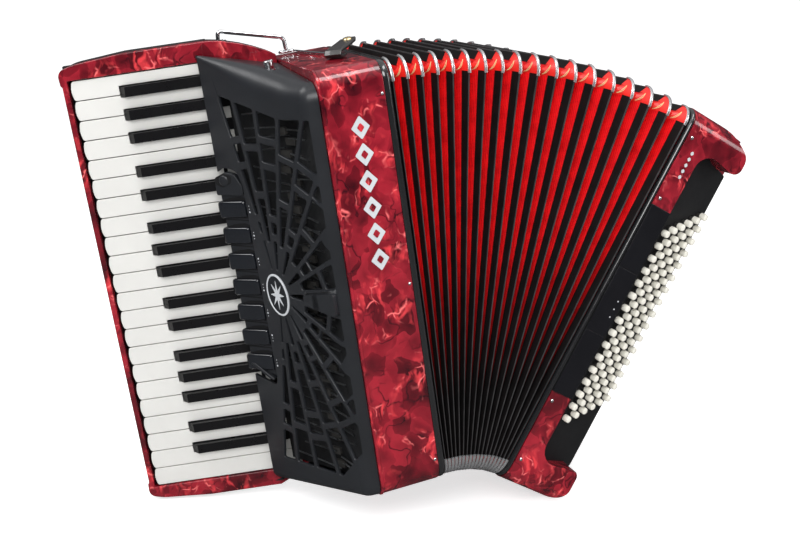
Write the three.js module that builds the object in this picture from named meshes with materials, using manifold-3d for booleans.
// A 37-key, 96-bass piano accordion, standing on its two lower ends with the bellows fanned open.
// Millimetres, +Z up, +X from the keyboard towards the bass end, +Y from the front to the player.
// The treble half is drawn upright in its own frame: x = 0 is the casing's keyboard side, y = 0 its
// front, z = 0 its lower end. The whole instrument is then leaned onto its feet at the very end.
import * as THREE from "three";
import { mergeVertices } from "three/addons/utils/BufferGeometryUtils.js";
import Module from "manifold-3d";

const wasm = await Module();
wasm.setup();

const DEGREE = Math.PI / 180;
const GAP = 0.4; // clearance left between neighbouring pieces

// ---- treble casing
const CASE_WIDTH = 59;
const CASE_DEPTH = 190;
const CASE_HEIGHT = 406;
const CASE_CORNER = 18; // radius of the long edges, seen from the side
const CASE_WALL = 6;
const CASE_FLOOR = 8; // the wall that carries the reed blocks
const FRAME_INSET = 1.5; // the bellows frames stand this far inside the casings
const TREBLE_FRAME = 7; // thickness of the bellows frame on the treble casing
const BASS_FRAME = 4.2;

// ---- keyboard, in a frame turned back from the casing
const KEY_PITCH = 19.1;
const WHITE_KEYS = 22;
const KEY_GAP = 0.8;
const KEYBOARD_TURN = 17 * DEGREE;
const KEYBOARD_ROOT = { x: -71, y: 140 }; // where the key tops pass under the grille cover
const KEYBOARD_TOP = 415.6;
const WHITE_LENGTH = 124.2; // visible length
const KEY_FRONT_GAP = 2; // between the key tips and the rail
const WHITE_THICKNESS = 11;
const KEY_TAIL = 28; // hidden length behind the grille cover's lip
const KEY_TIP_RADIUS = 2.5;
const BLACK_LENGTH = 79;
const BLACK_WIDTH = 9.4;
const BLACK_SHIFTS = [3.1, 0, -3.1, 0, 2.15, -2.15, 0]; // off the joint of its white keys, by letter
const BLACK_HEIGHT = 6;
const BLACK_NOSE = 5; // length of the sloping front end
const AXLE = { x: 22, depth: 7 };
const KEY_DIP = 1.9; // degrees
const BED_FLOOR = 17; // depth of the bed's floor under the key tops
const BED_THICKNESS = 6;
const BED_RAIL = 5.6;
const BED_CAP = 18; // height of the end caps beyond the keys
const BED_LIP = 1.5; // the rail and the caps stand this far above the key tops

// ---- chassis between the keyboard and the casing
const CHASSIS_FRONT = 132;
const CHASSIS_BACK = 188;
const CHASSIS_LEFT = -76;
const CHASSIS_WALL = 6;
const CHASSIS_SIDE_NEAR = 158; // the left wall starts behind the key tails

// ---- grille cover: outer corners in plan, from the keyboard to the casing
const COVER_LIP = { x: -76.1, y: 130.1 };
const COVER_SHOULDER = { x: -14, y: 8 };
const COVER_FRONT = { x: -0.5, y: 3 };
const COVER_BACK = 131.5;
const COVER_WALL = 2.5;
const COVER_TOP = { left: 424, right: 403.5 };
const COVER_EAVE = { y: 32, z: 397 }; // the top falls towards the front down to here, then runs level
const COVER_BOTTOM = { left: -14, right: 1 };
const COVER_CORNER_SHARE = 0.8; // share of the wall left at the shoulder

// ---- the cover's web of slots, in the plane of its sloping face: along it from the lip, and up
const WEB_CENTRE = { along: 60, z: 198 };
const WEB_RIB = 4.4;
const WEB_RIB_SHARE = 0.32; // half a rib takes no more than this share of a column's width
const WEB_RIBS = [9, 27, 41, 56, 67, 77, 87, 96, 102.5]; // degrees above and below the level line
const WEB_SHORT = [
  [24, 52],
  [59, 70],
  [77, 120],
  [127, 144],
  [151, 200],
]; // near and far radius of each slot in every other column
const WEB_LONG = [
  [50, 91],
  [98, 135],
  [142, 210],
]; // and in the columns between them
const WEB_SQUASH = 0.68; // the radii shrink to this share level with the centre
const WEB_FIELD = [
  [22, 19],
  [108, 19],
  [139, 49],
  [139, 366],
  [100, 366],
  [22, 386],
]; // outline of the area with slots
const WEB_DEPTH = { near: -4, far: 9 };
const WEB_SMALLEST = 30; // mm2: slivers at the field's edge stay closed

// ---- register switches
const SWITCHES = 7;
const SWITCH_PITCH = 25.9;
const SWITCH_TOP_Z = 278.8; // centre of the uppermost switch
const SWITCH_HEIGHT = 15;
const SWITCH_LENGTH = 30;
const SWITCH_THICKNESS = 5;
const SWITCH_ROOT_DEPTH = 10;
const SWITCH_TURN = -44.9 * DEGREE;
const SWITCH_TIP = { x: -83, y: 122.1 };
const SWITCH_TRAVEL = 6; // degrees
const SWITCH_EDGE = 1.6; // bevel of the plate's ends
const SWITCH_HEEL = { start: 13, end: 7 }; // the heel under the plate, from its root end
const SWITCH_PIVOT = { back: 3.5, up: 3 };
const SWITCH_WINDOW = [
  [-12, 108],
  [32, 99],
  [34.5, 108],
  [34.5, 300],
  [29, 316],
  [9, 318],
  [-12, 307],
]; // opening in the cover's face, which runs out over its lip
const WINDOW_REACH = 20; // how far the window is cut through, to each side of the face

// ---- bellows: coupled hinges along the lower edge
const SECTIONS = 4;
const SECTION_PITCH = 14.2;
const BELLOWS_FRONT = 4;
const BELLOWS_BACK = 186;
const BELLOWS_FOLD_DEPTH = 22;
const FAN_ANGLE = 37.7;
const FAN_GROWTH = 0.18; // how much more each hinge opens than the one before
const FAN_CLOSED = 0.99; // share of the rest angle that closing takes back
const FAN_MORE = 0.55; // share of the rest angle left to open

// ---- bass end, in its own frame: x outwards, z along the end
const BASS_THICKNESS = 80;
const BASS_HOOK = 73; // reach of the end blocks at the front
const BASS_STRIP = 23.3; // width of the front strip
const HOOK_ROOT = 31; // height of the end blocks at the strip
const HOOK_TIP = 39; // and at their tips
const HOOK_FILLET = 16;
const HOOK_SLOPE = (HOOK_TIP - HOOK_ROOT) / (BASS_HOOK - BASS_STRIP);
// Front outline of the bass casing: corners, and how far each is rounded off.
const BASS_OUTLINE = [
  [0, 0, 0],
  [BASS_HOOK, 0, 16],
  [BASS_HOOK, HOOK_TIP, 6],
  [BASS_STRIP, HOOK_ROOT, HOOK_FILLET],
  [BASS_STRIP, CASE_HEIGHT - HOOK_ROOT, HOOK_FILLET],
  [BASS_HOOK, CASE_HEIGHT - HOOK_TIP, 7],
  [BASS_HOOK, CASE_HEIGHT - 17, 8],
  [BASS_HOOK - 26, CASE_HEIGHT, 12],
  [0, CASE_HEIGHT, 0],
];
const BASS_HOOK_DEPTH = 40;
const BOARD_TURN = 22 * DEGREE;
const BOARD_STEP = 8; // how far the board lies behind the strip's face
const BOARD_THICKNESS = 3;
const BUTTON_ROWS = 6;
const BUTTONS_PER_ROW = 16;
const BUTTON_PITCH = 13.67;
const BUTTON_ROW_PITCH = 8.9;
const BUTTON_STAGGER = BUTTON_PITCH / 2;
const FIRST_ROW = { across: 7, z: 81.7 };
const BUTTON_RADIUS = 3.5;
const BUTTON_CAP = { low: 3.6, high: 10.6 };
const STEM_RADIUS = 2.1;
const SLOT_WIDTH = 5.4;
const ACTION_WINDOW = { left: 3, right: 58, depth: 30, margin: 66 }; // opening behind the button board
const RAIL = { depth: 8, thickness: 2.5, margin: 2.8 };
const BUTTON_TRAVEL = 2.8;
const ROUND_SIDES = 24;
const BUTTON_SIDES = 6;

// ---- hand strap, strap wheel, air button, strap bracket
const STRAP = { near: 85, far: 155, low: 28, high: 366, bulge: 30, thickness: 3.5, foot: 22 };
const WHEEL = { radius: 14, width: 7, sink: 5, z: 380, y: 120 };
const AIR_BUTTON = { y: 60, z: 325, radius: 6, stem: 3, stand: 6, height: 6, travel: 5 };
const BRACKET = {
  y: 176,
  left: -45,
  right: 20,
  rise: 11,
  riseRight: 15,
  rod: 2,
  foot: 8, // half length of a foot plate
  halfPlate: 5,
  plate: 2.4,
};

const BRACKET_SEAT = KEYBOARD_TOP + 11; // flat of the chassis under the bracket's left foot

const LEAN = -6.88 * DEGREE; // sets the keyboard end and the bass end on one level

// ---------------------------------------------------------------- geometry helpers

function solid(geometry) {
  const bare = geometry.clone();
  bare.deleteAttribute("normal");
  bare.deleteAttribute("uv");
  const merged = mergeVertices(bare, 1e-4);
  return new wasm.Manifold(
    new wasm.Mesh({
      numProp: 3,
      vertProperties: merged.getAttribute("position").array,
      triVerts: new Uint32Array(merged.index.array),
    }),
  );
}

function toGeometry(manifold) {
  const mesh = manifold.getMesh();
  const geometry = new THREE.BufferGeometry();
  geometry.setAttribute("position", new THREE.BufferAttribute(mesh.vertProperties, 3));
  geometry.setIndex(new THREE.BufferAttribute(mesh.triVerts, 1));
  const flat = geometry.toNonIndexed();
  flat.computeVertexNormals();
  return flat;
}

function extrude(shape, depth, matrix, frame) {
  const geometry = new THREE.ExtrudeGeometry(shape, { depth, bevelEnabled: false, curveSegments: 6 });
  geometry.applyMatrix4(matrix);
  if (frame) geometry.applyMatrix4(frame);
  return solid(geometry);
}

// A shape drawn in (x, z), extruded along y.
function frontPrism(shape, near, far, frame) {
  const matrix = new THREE.Matrix4().makeBasis(
    new THREE.Vector3(1, 0, 0),
    new THREE.Vector3(0, 0, 1),
    new THREE.Vector3(0, -1, 0),
  );
  matrix.setPosition(0, far, 0);
  return extrude(shape, far - near, matrix, frame);
}

// A shape drawn in (x, y), extruded along z.
function planPrism(shape, low, high, frame) {
  return extrude(shape, high - low, new THREE.Matrix4().makeTranslation(0, 0, low), frame);
}

// A shape drawn in (y, z), extruded along x.
function sidePrism(shape, left, right, frame) {
  const matrix = new THREE.Matrix4().makeBasis(
    new THREE.Vector3(0, 1, 0),
    new THREE.Vector3(0, 0, 1),
    new THREE.Vector3(1, 0, 0),
  );
  matrix.setPosition(left, 0, 0);
  return extrude(shape, right - left, matrix, frame);
}

function polygon(points) {
  return new THREE.Shape(points.map(([x, y]) => new THREE.Vector2(x, y)));
}

function rectangle(left, right, low, high) {
  return polygon([
    [left, low],
    [right, low],
    [right, high],
    [left, high],
  ]);
}

// A polygon of corners [x, y, reach], each rounded off over that reach.
function roundedPolygon(corners) {
  const shape = new THREE.Shape();
  corners.forEach(([x, y, reach], i) => {
    const corner = new THREE.Vector2(x, y);
    const toward = (other) => {
      const direction = new THREE.Vector2(other[0], other[1]).sub(corner).normalize();
      return corner.clone().addScaledVector(direction, reach);
    };
    const start = toward(corners.at(i - 1));
    const end = toward(corners[(i + 1) % corners.length]);
    if (i === 0) shape.moveTo(start.x, start.y);
    else shape.lineTo(start.x, start.y);
    if (reach > 0) shape.quadraticCurveTo(x, y, end.x, end.y);
  });
  return shape;
}

function roundedRectangle(left, right, low, high, radius) {
  const shape = new THREE.Shape();
  shape.moveTo(left + radius, low);
  shape.lineTo(right - radius, low);
  shape.absarc(right - radius, low + radius, radius, -Math.PI / 2, 0, false);
  shape.lineTo(right, high - radius);
  shape.absarc(right - radius, high - radius, radius, 0, Math.PI / 2, false);
  shape.lineTo(left + radius, high);
  shape.absarc(left + radius, high - radius, radius, Math.PI / 2, Math.PI, false);
  shape.lineTo(left, low + radius);
  shape.absarc(left + radius, low + radius, radius, Math.PI, 1.5 * Math.PI, false);
  return shape;
}

function box(left, right, near, far, low, high, frame) {
  return planPrism(rectangle(left, right, near, far), low, high, frame);
}

// A round bar with its axis along y.
function barAlongY(radius, near, far, x, z, sides = ROUND_SIDES) {
  const geometry = new THREE.CylinderGeometry(radius, radius, far - near, sides);
  geometry.translate(x, (near + far) / 2, z);
  return solid(geometry);
}

// A round bar with its axis along x.
function barAlongX(radius, left, right, y, z, sides = ROUND_SIDES) {
  const geometry = new THREE.CylinderGeometry(radius, radius, right - left, sides);
  geometry.rotateZ(Math.PI / 2);
  geometry.translate((left + right) / 2, y, z);
  return solid(geometry);
}

function unite(solids) {
  return solids.reduce((whole, piece) => whole.add(piece));
}

function turnedFrame(x, y, angle) {
  return new THREE.Matrix4().makeTranslation(x, y, 0).multiply(new THREE.Matrix4().makeRotationZ(angle));
}

// ---------------------------------------------------------------- materials

const FINISHES = {
  pearl: { color: 0x9c1526, roughness: 0.22, metalness: 0 },
  blackSatin: { color: 0x1d1e20, roughness: 0.5, metalness: 0 },
  blackGloss: { color: 0x0e0e10, roughness: 0.18, metalness: 0 },
  blackKey: { color: 0x111112, roughness: 0.45, metalness: 0 },
  whiteKey: { color: 0xe8e6e0, roughness: 0.25, metalness: 0 },
  ivory: { color: 0xdedbcd, roughness: 0.3, metalness: 0 },
  chrome: { color: 0xc8c9cc, roughness: 0.15, metalness: 1 },
  bellows: { color: 0xc0141c, roughness: 0.75, metalness: 0 },
  leather: { color: 0x151414, roughness: 0.6, metalness: 0 },
};

function mesh(name, manifold, finish) {
  const made = new THREE.Mesh(toGeometry(manifold), new THREE.MeshStandardMaterial(FINISHES[finish]));
  made.name = name;
  return made;
}

// A group whose origin is a joint's pivot. Its child is drawn in the parent's frame, so it is moved back.
function jointGroup(joint, pivot, child) {
  const group = new THREE.Group();
  group.position.set(...pivot);
  group.userData.joint = joint;
  child.position.sub(group.position);
  group.add(child);
  return group;
}

// ---------------------------------------------------------------- treble half

function caseShell() {
  const outer = sidePrism(roundedRectangle(0, CASE_DEPTH, 0, CASE_HEIGHT, CASE_CORNER), 0, CASE_WIDTH);
  const frame = sidePrism(
    roundedRectangle(
      FRAME_INSET,
      CASE_DEPTH - FRAME_INSET,
      FRAME_INSET,
      CASE_HEIGHT - FRAME_INSET,
      CASE_CORNER - FRAME_INSET,
    ),
    CASE_WIDTH - 1,
    CASE_WIDTH + TREBLE_FRAME,
  );
  const hollow = sidePrism(
    roundedRectangle(
      CASE_WALL,
      CASE_DEPTH - CASE_WALL,
      CASE_WALL,
      CASE_HEIGHT - CASE_WALL,
      CASE_CORNER - CASE_WALL,
    ),
    CASE_FLOOR,
    CASE_WIDTH + TREBLE_FRAME + 1,
  );
  return outer.add(frame).subtract(hollow);
}

function bedCapShape(inner, outer) {
  const left = -WHITE_LENGTH - KEY_FRONT_GAP - BED_RAIL;
  const shoulder = 16;
  const shape = new THREE.Shape();
  shape.moveTo(0, inner);
  shape.lineTo(left, inner);
  shape.quadraticCurveTo(left, (inner + outer) / 2 + (outer - inner) / 4, left + shoulder, outer);
  shape.lineTo(0, outer);
  return outer > inner ? shape : polygon(shape.getPoints(6).map((p) => [p.x, p.y]));
}

function keyboardBed() {
  const frame = turnedFrame(KEYBOARD_ROOT.x, KEYBOARD_ROOT.y, -KEYBOARD_TURN);
  const bottom = KEYBOARD_TOP - WHITE_KEYS * KEY_PITCH;
  const left = -WHITE_LENGTH - KEY_FRONT_GAP - BED_RAIL;
  const back = BED_FLOOR + BED_THICKNESS;
  const chassisOutline = polygon([
    [CHASSIS_LEFT, bottom - BED_CAP],
    [-GAP, 2],
    [-GAP, CASE_HEIGHT - 2],
    [BRACKET.left + BRACKET.foot + 1, BRACKET_SEAT],
    [BRACKET.left - BRACKET.foot - 1, BRACKET_SEAT],
    [CHASSIS_LEFT, KEYBOARD_TOP + BED_CAP],
  ]);
  const chassis = frontPrism(chassisOutline, CHASSIS_FRONT, CHASSIS_BACK).subtract(
    box(
      CHASSIS_LEFT - 10,
      -GAP - CHASSIS_WALL,
      CHASSIS_FRONT - 10,
      CHASSIS_BACK - CHASSIS_WALL,
      bottom - 1,
      KEYBOARD_TOP + 1,
    ),
  );
  return unite([
    box(left, 8, BED_FLOOR, back, bottom - 2, KEYBOARD_TOP + 2, frame),
    box(left, left + BED_RAIL, -BED_LIP, back, bottom - 1, KEYBOARD_TOP + 1, frame),
    frontPrism(bedCapShape(KEYBOARD_TOP + KEY_GAP, KEYBOARD_TOP + BED_CAP), -BED_LIP, back, frame),
    frontPrism(bedCapShape(bottom - KEY_GAP, bottom - BED_CAP), -BED_LIP, back, frame),
    box(
      CHASSIS_LEFT,
      CHASSIS_LEFT + CHASSIS_WALL,
      CHASSIS_SIDE_NEAR,
      CHASSIS_BACK,
      bottom - 1,
      KEYBOARD_TOP + 1,
    ),
    chassis,
  ]);
}

// Letters run F G A B C D E from the top key down; a black key follows every letter but B and E.
function hasBlackBelow(index) {
  return index >= 0 && index < WHITE_KEYS - 1 && ![3, 6].includes(index % 7);
}

function blackKeyZ(index) {
  return KEYBOARD_TOP - (index + 1) * KEY_PITCH + BLACK_SHIFTS[index % BLACK_SHIFTS.length];
}

function whiteKeyShape(index) {
  const top = KEYBOARD_TOP - index * KEY_PITCH - KEY_GAP / 2;
  const low = top - KEY_PITCH + KEY_GAP;
  const clear = BLACK_WIDTH / 2 + KEY_GAP;
  const shoulder = -BLACK_LENGTH - KEY_GAP;
  const r = KEY_TIP_RADIUS;
  const shape = new THREE.Shape();
  shape.moveTo(-WHITE_LENGTH + r, low);
  if (hasBlackBelow(index)) {
    shape.lineTo(shoulder, low);
    shape.lineTo(shoulder, blackKeyZ(index) + clear);
    shape.lineTo(KEY_TAIL, blackKeyZ(index) + clear);
  } else {
    shape.lineTo(KEY_TAIL, low);
  }
  if (hasBlackBelow(index - 1)) {
    shape.lineTo(KEY_TAIL, blackKeyZ(index - 1) - clear);
    shape.lineTo(shoulder, blackKeyZ(index - 1) - clear);
    shape.lineTo(shoulder, top);
  } else {
    shape.lineTo(KEY_TAIL, top);
  }
  shape.lineTo(-WHITE_LENGTH + r, top);
  shape.absarc(-WHITE_LENGTH + r, top - r, r, Math.PI / 2, Math.PI, false);
  shape.absarc(-WHITE_LENGTH + r, low + r, r, Math.PI, 1.5 * Math.PI, false);
  return shape;
}

function whiteKey(index) {
  const name = `white_key_${String(index + 1).padStart(2, "0")}`;
  const z = KEYBOARD_TOP - (index + 0.5) * KEY_PITCH;
  const key = mesh(name, frontPrism(whiteKeyShape(index), 0, WHITE_THICKNESS), "whiteKey");
  return keyJoint(name, z, key);
}

function blackKey(order, index) {
  const name = `black_key_${String(order + 1).padStart(2, "0")}`;
  const z = blackKeyZ(index);
  const side = polygon([
    [-BLACK_LENGTH, WHITE_THICKNESS],
    [KEY_TAIL, WHITE_THICKNESS],
    [KEY_TAIL, 0],
    [2, -BLACK_HEIGHT],
    [-BLACK_LENGTH + BLACK_NOSE, -BLACK_HEIGHT],
    [-BLACK_LENGTH, 0],
  ]);
  const key = planPrism(side, z - BLACK_WIDTH / 2, z + BLACK_WIDTH / 2);
  return keyJoint(name, z, mesh(name, key, "blackKey"));
}

function keyJoint(name, z, key) {
  const joint = { name: `${name}_press`, type: "hinge", axis: [0, 0, -1], range: [0, KEY_DIP] };
  return jointGroup(joint, [AXLE.x, AXLE.depth, z], key);
}

function keyboard() {
  const group = new THREE.Group();
  group.position.set(KEYBOARD_ROOT.x, KEYBOARD_ROOT.y, 0);
  group.rotation.z = -KEYBOARD_TURN;
  let blacks = 0;
  for (let index = 0; index < WHITE_KEYS; index += 1) {
    group.add(whiteKey(index));
    if (hasBlackBelow(index)) {
      group.add(blackKey(blacks, index));
      blacks += 1;
    }
  }
  return group;
}

// The cover's block in plan, pushed in by a distance and cut off by its sloping ends and roof.
function coverBlock(inset, right, back) {
  const along = Math.hypot(COVER_SHOULDER.x - COVER_LIP.x, COVER_SHOULDER.y - COVER_LIP.y);
  const nx = (COVER_LIP.y - COVER_SHOULDER.y) / along;
  const ny = (COVER_SHOULDER.x - COVER_LIP.x) / along;
  const plan = polygon([
    [COVER_LIP.x + inset * nx, COVER_LIP.y + inset * ny],
    [COVER_SHOULDER.x + inset * nx, COVER_SHOULDER.y + inset * COVER_CORNER_SHARE],
    [right, COVER_FRONT.y + inset],
    [right, back],
    [COVER_LIP.x + inset * nx, back],
  ]);
  const ends = polygon([
    [COVER_LIP.x - 1, COVER_BOTTOM.left + inset],
    [right + 1, COVER_BOTTOM.right + inset],
    [right + 1, COVER_TOP.right - inset],
    [COVER_LIP.x - 1, COVER_TOP.left - inset],
  ]);
  const slope = (COVER_TOP.left - COVER_EAVE.z) / (COVER_LIP.y - COVER_EAVE.y);
  const roof = polygon([
    [0, COVER_BOTTOM.left - 1],
    [back + 1, COVER_BOTTOM.left - 1],
    [back + 1, COVER_EAVE.z + (back + 1 - COVER_EAVE.y) * slope - inset],
    [COVER_EAVE.y, COVER_EAVE.z - inset],
    [0, COVER_EAVE.z - inset],
  ]);
  return planPrism(plan, COVER_BOTTOM.left - 1, COVER_TOP.left + 1)
    .intersect(frontPrism(ends, 0, back + 1))
    .intersect(sidePrism(roof, COVER_LIP.x - 1, right + 1));
}

// One slot of the web: between two ribs, and between two radii from the centre.
function webSlot(low, high, near, far) {
  const corner = (angle, side, radius) => {
    const spare = Math.min(WEB_RIB / 2 / radius, WEB_RIB_SHARE * (high - low));
    const turned = angle + side * spare;
    return [WEB_CENTRE.along + radius * Math.cos(turned), WEB_CENTRE.z + radius * Math.sin(turned)];
  };
  return polygon([
    corner(low, 1, near),
    corner(low, 1, far),
    corner(high, -1, far),
    corner(high, -1, near),
  ]);
}

// The columns of slots, from the lowest rib to the highest; long and short slots take turns.
function webSlots() {
  const ribs = [...WEB_RIBS.map((rib) => -rib).reverse(), ...WEB_RIBS].map((rib) => rib * DEGREE);
  const slots = [];
  for (let column = 0; column < ribs.length - 1; column += 1) {
    const [low, high] = [ribs[column], ribs[column + 1]];
    const level = Math.sin((low + high) / 2) ** 2;
    const squash = WEB_SQUASH + (1 - WEB_SQUASH) * level;
    for (const [near, far] of column % 2 ? WEB_LONG : WEB_SHORT) {
      slots.push(webSlot(low, high, near * squash, far * squash));
    }
  }
  return slots;
}

function webOpenings(frame) {
  const cut = (shape) => frontPrism(shape, WEB_DEPTH.near, WEB_DEPTH.far, frame);
  const field = cut(polygon(WEB_FIELD));
  const smallest = WEB_SMALLEST * (WEB_DEPTH.far - WEB_DEPTH.near);
  return webSlots()
    .map((slot) => cut(slot).intersect(field))
    .filter((opening) => opening.volume() > smallest);
}

function grilleCover() {
  const turn = Math.atan2(COVER_SHOULDER.y - COVER_LIP.y, COVER_SHOULDER.x - COVER_LIP.x);
  const frame = turnedFrame(COVER_LIP.x, COVER_LIP.y, turn);
  const shell = coverBlock(0, COVER_FRONT.x, COVER_BACK).subtract(
    coverBlock(COVER_WALL, COVER_FRONT.x + 1, COVER_BACK + 5),
  );
  const window = frontPrism(polygon(SWITCH_WINDOW), -WINDOW_REACH, WINDOW_REACH, frame);
  return webOpenings(frame).reduce((cover, cell) => cover.subtract(cell), shell.subtract(window));
}

function registerSwitch(order) {
  const name = `register_switch_${order + 1}`;
  const z = SWITCH_TOP_Z - order * SWITCH_PITCH;
  const plan = polygon([
    [0, SWITCH_EDGE],
    [SWITCH_EDGE, 0],
    [SWITCH_LENGTH - SWITCH_EDGE, 0],
    [SWITCH_LENGTH, SWITCH_EDGE],
    [SWITCH_LENGTH, SWITCH_ROOT_DEPTH],
    [SWITCH_LENGTH - SWITCH_HEEL.end, SWITCH_ROOT_DEPTH],
    [SWITCH_LENGTH - SWITCH_HEEL.start, SWITCH_THICKNESS],
    [SWITCH_EDGE / 2, SWITCH_THICKNESS],
  ]);
  const frame = turnedFrame(SWITCH_TIP.x, SWITCH_TIP.y, SWITCH_TURN);
  const body = planPrism(plan, z - SWITCH_HEIGHT / 2, z + SWITCH_HEIGHT / 2, frame);
  const root = new THREE.Vector3(SWITCH_LENGTH - SWITCH_PIVOT.back, SWITCH_ROOT_DEPTH - SWITCH_PIVOT.up, z);
  const pivot = root.applyMatrix4(frame);
  const joint = {
    name: `${name}_press`,
    type: "hinge",
    axis: [0, 0, -1],
    range: [0, SWITCH_TRAVEL],
  };
  return jointGroup(joint, pivot.toArray(), mesh(name, body, "blackGloss"));
}

function strapBracket() {
  const lowLeft = BRACKET_SEAT + GAP;
  const lowRight = CASE_HEIGHT + GAP;
  const corners = [
    new THREE.Vector3(BRACKET.left, BRACKET.y, lowLeft),
    new THREE.Vector3(BRACKET.left + 1, BRACKET.y, lowLeft + BRACKET.rise),
    new THREE.Vector3(BRACKET.right - 1, BRACKET.y, lowRight + BRACKET.riseRight),
    new THREE.Vector3(BRACKET.right, BRACKET.y, lowRight),
  ];
  const bars = corners.slice(1).map((end, i) => rodBetween(corners[i], end));
  const knees = corners.slice(1, 3).map((corner) => {
    const ball = new THREE.SphereGeometry(BRACKET.rod, 10, 6);
    ball.translate(corner.x, corner.y, corner.z);
    return solid(ball);
  });
  const feet = [corners[0], corners[3]].map((corner) =>
    box(
      corner.x - BRACKET.foot,
      corner.x + BRACKET.foot,
      corner.y - BRACKET.halfPlate,
      corner.y + BRACKET.halfPlate,
      corner.z,
      corner.z + BRACKET.plate,
    ),
  );
  return unite([...bars, ...knees, ...feet]);
}

function rodBetween(start, end) {
  const geometry = new THREE.CylinderGeometry(BRACKET.rod, BRACKET.rod, start.distanceTo(end), 10);
  const direction = end.clone().sub(start).normalize();
  geometry.applyQuaternion(
    new THREE.Quaternion().setFromUnitVectors(new THREE.Vector3(0, 1, 0), direction),
  );
  const middle = start.clone().add(end).multiplyScalar(0.5);
  geometry.translate(middle.x, middle.y, middle.z);
  return solid(geometry);
}

// ---------------------------------------------------------------- bellows

// Rest angle of each hinge, in degrees: the end hinges carry half a section, later hinges open more.
function hingeAngle(hinge) {
  const last = SECTIONS;
  const share = hinge === 0 || hinge === last ? 0.5 : 1;
  return (FAN_ANGLE / SECTIONS) * share * (1 + FAN_GROWTH * (hinge - last / 2));
}

function bellowsHinge(hinge) {
  const group = new THREE.Group();
  const angle = hingeAngle(hinge);
  group.rotation.y = angle * DEGREE;
  group.userData.joint = {
    name: `bellows_hinge_${hinge + 1}`,
    type: "hinge",
    axis: [0, 1, 0],
    range: [-FAN_CLOSED * angle, FAN_MORE * angle],
    rest: angle,
  };
  return group;
}

function bellowsSection(order) {
  const height = CASE_HEIGHT - 2 * FRAME_INSET;
  const outer = roundedRectangle(BELLOWS_FRONT, BELLOWS_BACK, 0, height, CASE_CORNER - 2);
  outer.holes.push(
    roundedRectangle(
      BELLOWS_FRONT + BELLOWS_FOLD_DEPTH,
      BELLOWS_BACK - BELLOWS_FOLD_DEPTH,
      BELLOWS_FOLD_DEPTH,
      height - BELLOWS_FOLD_DEPTH,
      CASE_CORNER / 3,
    ),
  );
  const ring = sidePrism(outer, GAP / 2, SECTION_PITCH - GAP / 2);
  return mesh(`bellows_section_${order + 1}`, ring, "bellows");
}

function bellows() {
  const first = bellowsHinge(0);
  first.position.set(CASE_WIDTH + TREBLE_FRAME + GAP / 2, 0, FRAME_INSET);
  let link = first;
  for (let order = 0; order < SECTIONS; order += 1) {
    link.add(bellowsSection(order));
    const next = bellowsHinge(order + 1);
    next.position.set(SECTION_PITCH, 0, 0);
    link.add(next);
    link = next;
  }
  link.add(bassEnd());
  return first;
}

// ---------------------------------------------------------------- bass end

function boardFrame() {
  return turnedFrame(BASS_STRIP, BOARD_STEP, BOARD_TURN);
}

function bassCase() {
  const seat = BOARD_THICKNESS + GAP; // depth of the seat under the board's face
  const edge = BOARD_STEP + (BASS_THICKNESS - BASS_STRIP) * Math.tan(BOARD_TURN);
  const body = planPrism(
    polygon([
      [0, 0],
      [BASS_STRIP, 0],
      [BASS_STRIP, BOARD_STEP + seat],
      [BASS_THICKNESS, edge + seat],
      [BASS_THICKNESS, CASE_DEPTH],
      [0, CASE_DEPTH],
    ]),
    0,
    CASE_HEIGHT,
  );
  const hooks = frontPrism(roundedPolygon(BASS_OUTLINE), 0, BASS_HOOK_DEPTH);
  const envelope = sidePrism(
    roundedRectangle(0, CASE_DEPTH, 0, CASE_HEIGHT, CASE_CORNER),
    -1,
    BASS_THICKNESS + 1,
  );
  const frame = sidePrism(
    roundedRectangle(
      FRAME_INSET,
      CASE_DEPTH - FRAME_INSET,
      FRAME_INSET,
      CASE_HEIGHT - FRAME_INSET,
      CASE_CORNER - FRAME_INSET,
    ),
    -BASS_FRAME,
    1,
  );
  const wall = CASE_WALL;
  const inner = planPrism(
    polygon([
      [-BASS_FRAME - 1, wall],
      [BASS_STRIP - wall, wall],
      [BASS_STRIP - wall, BOARD_STEP + seat + wall],
      [BASS_THICKNESS - wall, edge + seat + wall],
      [BASS_THICKNESS - wall, CASE_DEPTH - wall],
      [-BASS_FRAME - 1, CASE_DEPTH - wall],
    ]),
    wall,
    CASE_HEIGHT - wall,
  ).intersect(
    sidePrism(
      roundedRectangle(wall, CASE_DEPTH - wall, wall, CASE_HEIGHT - wall, CASE_CORNER - wall),
      -BASS_FRAME - 2,
      BASS_THICKNESS,
    ),
  );
  const actionWindow = box(
    ACTION_WINDOW.left,
    ACTION_WINDOW.right,
    0,
    ACTION_WINDOW.depth,
    ACTION_WINDOW.margin,
    CASE_HEIGHT - ACTION_WINDOW.margin,
    boardFrame(),
  );
  const wheelSlot = box(
    BASS_THICKNESS - 20,
    BASS_THICKNESS + 1,
    WHEEL.y - WHEEL.width / 2 - 1,
    WHEEL.y + WHEEL.width / 2 + 1,
    WHEEL.z - WHEEL.radius - 1,
    WHEEL.z + WHEEL.radius + 1,
  );
  const airHole = barAlongX(
    AIR_BUTTON.stem + GAP,
    BASS_THICKNESS - 10,
    BASS_THICKNESS + 1,
    AIR_BUTTON.y,
    AIR_BUTTON.z,
  );
  return unite([body, hooks])
    .intersect(envelope)
    .add(frame)
    .subtract(inner)
    .subtract(actionWindow)
    .subtract(wheelSlot)
    .subtract(airHole);
}

function rowAcross(row) {
  return FIRST_ROW.across + row * BUTTON_ROW_PITCH;
}

function buttonZ(row, order) {
  return FIRST_ROW.z + row * BUTTON_STAGGER + order * BUTTON_PITCH;
}

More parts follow.
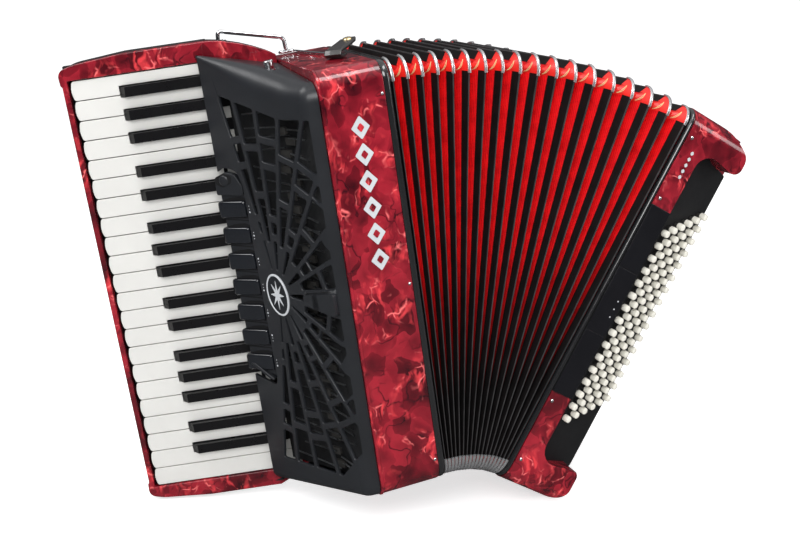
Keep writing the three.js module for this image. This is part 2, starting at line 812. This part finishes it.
function buttonBoard() {
  const left = BASS_STRIP + GAP;
  const root = HOOK_ROOT + 1.5 * GAP;
  const end = root + HOOK_SLOPE * (BASS_THICKNESS - left);
  const outline = roundedPolygon([
    [left, root, HOOK_FILLET],
    [BASS_THICKNESS, end, 0],
    [BASS_THICKNESS, CASE_HEIGHT - end, 0],
    [left, CASE_HEIGHT - root, HOOK_FILLET],
  ]);
  const column = frontPrism(outline, 0, BASS_THICKNESS);
  const slab = box(-10, BASS_THICKNESS + 10, 0, BOARD_THICKNESS, 0, CASE_HEIGHT, boardFrame());
  const slots = [];
  for (let row = 0; row < BUTTON_ROWS; row += 1) {
    slots.push(
      box(
        rowAcross(row) - SLOT_WIDTH / 2,
        rowAcross(row) + SLOT_WIDTH / 2,
        -1,
        BOARD_THICKNESS + 1,
        buttonZ(row, 0) - SLOT_WIDTH / 2,
        buttonZ(row, BUTTONS_PER_ROW - 1) + SLOT_WIDTH / 2,
        boardFrame(),
      ),
    );
  }
  return slots.reduce((board, slot) => board.subtract(slot), column.intersect(slab));
}

// One button, its axis along y: a thin stem from the rail and a wider cap in front of the board.
function bassButton(row, order) {
  const length = RAIL.depth + 1 + BUTTON_CAP.high;
  const cap = BUTTON_CAP.high - BUTTON_CAP.low;
  const geometry = new THREE.LatheGeometry(
    [
      new THREE.Vector2(0, 0),
      new THREE.Vector2(STEM_RADIUS, 0),
      new THREE.Vector2(STEM_RADIUS, length - cap),
      new THREE.Vector2(BUTTON_RADIUS, length - cap),
      new THREE.Vector2(BUTTON_RADIUS, length),
      new THREE.Vector2(0, length),
    ],
    BUTTON_SIDES,
  );
  geometry.rotateX(Math.PI);
  geometry.translate(rowAcross(row), RAIL.depth + 1, buttonZ(row, order));
  geometry.applyMatrix4(boardFrame());
  return solid(geometry);
}

function buttonGroup(group) {
  const rows = [2 * group, 2 * group + 1];
  const rail = box(
    rowAcross(rows[0]) - RAIL.margin,
    rowAcross(rows[1]) + RAIL.margin,
    RAIL.depth,
    RAIL.depth + RAIL.thickness,
    buttonZ(rows[0], 0) - RAIL.margin,
    buttonZ(rows[1], BUTTONS_PER_ROW - 1) + RAIL.margin,
    boardFrame(),
  );
  const buttons = rows.flatMap((row) =>
    Array.from({ length: BUTTONS_PER_ROW }, (_, order) => bassButton(row, order)),
  );
  const name = `bass_buttons_rows_${rows[0] + 1}_${rows[1] + 1}`;
  const joint = {
    name: `${name}_press`,
    type: "slide",
    axis: [-Math.sin(BOARD_TURN), Math.cos(BOARD_TURN), 0],
    range: [0, BUTTON_TRAVEL],
  };
  const pivot = [BASS_STRIP, BOARD_STEP, FIRST_ROW.z];
  return jointGroup(joint, pivot, mesh(name, unite([rail, ...buttons]), "ivory"));
}

function handStrap() {
  const middle = (STRAP.low + STRAP.high) / 2;
  const outer = new THREE.Shape();
  const base = BASS_THICKNESS + GAP;
  outer.moveTo(base, STRAP.low);
  outer.quadraticCurveTo(base + 2 * STRAP.bulge, middle, base, STRAP.high);
  outer.lineTo(base, STRAP.high - STRAP.foot);
  outer.quadraticCurveTo(
    base + 2 * STRAP.bulge - 2 * STRAP.thickness,
    middle,
    base,
    STRAP.low + STRAP.foot,
  );
  return frontPrism(outer, STRAP.near, STRAP.far);
}

function strapWheel() {
  const x = BASS_THICKNESS - WHEEL.sink;
  const disc = barAlongY(WHEEL.radius, WHEEL.y - WHEEL.width / 2, WHEEL.y + WHEEL.width / 2, x, WHEEL.z);
  const joint = { name: "strap_wheel_turn", type: "hinge", axis: [0, 1, 0], continuous: true };
  return jointGroup(joint, [x, WHEEL.y, WHEEL.z], mesh("strap_wheel", disc, "blackSatin"));
}

function airButton() {
  const face = BASS_THICKNESS + AIR_BUTTON.stand;
  const stem = barAlongX(AIR_BUTTON.stem, BASS_THICKNESS - 9, face + 1, AIR_BUTTON.y, AIR_BUTTON.z);
  const cap = barAlongX(AIR_BUTTON.radius, face, face + AIR_BUTTON.height, AIR_BUTTON.y, AIR_BUTTON.z);
  const joint = { name: "air_button_press", type: "slide", axis: [-1, 0, 0], range: [0, AIR_BUTTON.travel] };
  const pivot = [face, AIR_BUTTON.y, AIR_BUTTON.z];
  return jointGroup(joint, pivot, mesh("air_button", stem.add(cap), "ivory"));
}

function bassEnd() {
  const group = new THREE.Group();
  group.position.set(BASS_FRAME + GAP / 2, 0, -FRAME_INSET);
  group.add(mesh("bass_case", bassCase(), "pearl"));
  group.add(mesh("bass_button_board", buttonBoard(), "blackSatin"));
  for (let pair = 0; pair < BUTTON_ROWS / 2; pair += 1) group.add(buttonGroup(pair));
  group.add(mesh("bass_strap", handStrap(), "leather"));
  group.add(strapWheel());
  group.add(airButton());
  return group;
}

// ---------------------------------------------------------------- the whole instrument

function accordion() {
  const treble = new THREE.Group();
  treble.rotation.y = LEAN;
  treble.add(mesh("treble_case", caseShell(), "pearl"));
  treble.add(mesh("keyboard_bed", keyboardBed(), "pearl"));
  treble.add(mesh("grille_cover", grilleCover(), "blackSatin"));
  treble.add(mesh("strap_bracket", strapBracket(), "chrome"));
  treble.add(keyboard());
  for (let order = 0; order < SWITCHES; order += 1) treble.add(registerSwitch(order));
  treble.add(bellows());

  // The origin is the middle of the footprint, on the floor.
  const whole = new THREE.Group();
  whole.add(treble);
  whole.updateMatrixWorld(true);
  const bounds = new THREE.Box3().setFromObject(whole, true);
  const centre = bounds.getCenter(new THREE.Vector3());
  treble.position.set(-centre.x, -centre.y, -bounds.min.z);
  return whole;
}

export default accordion();
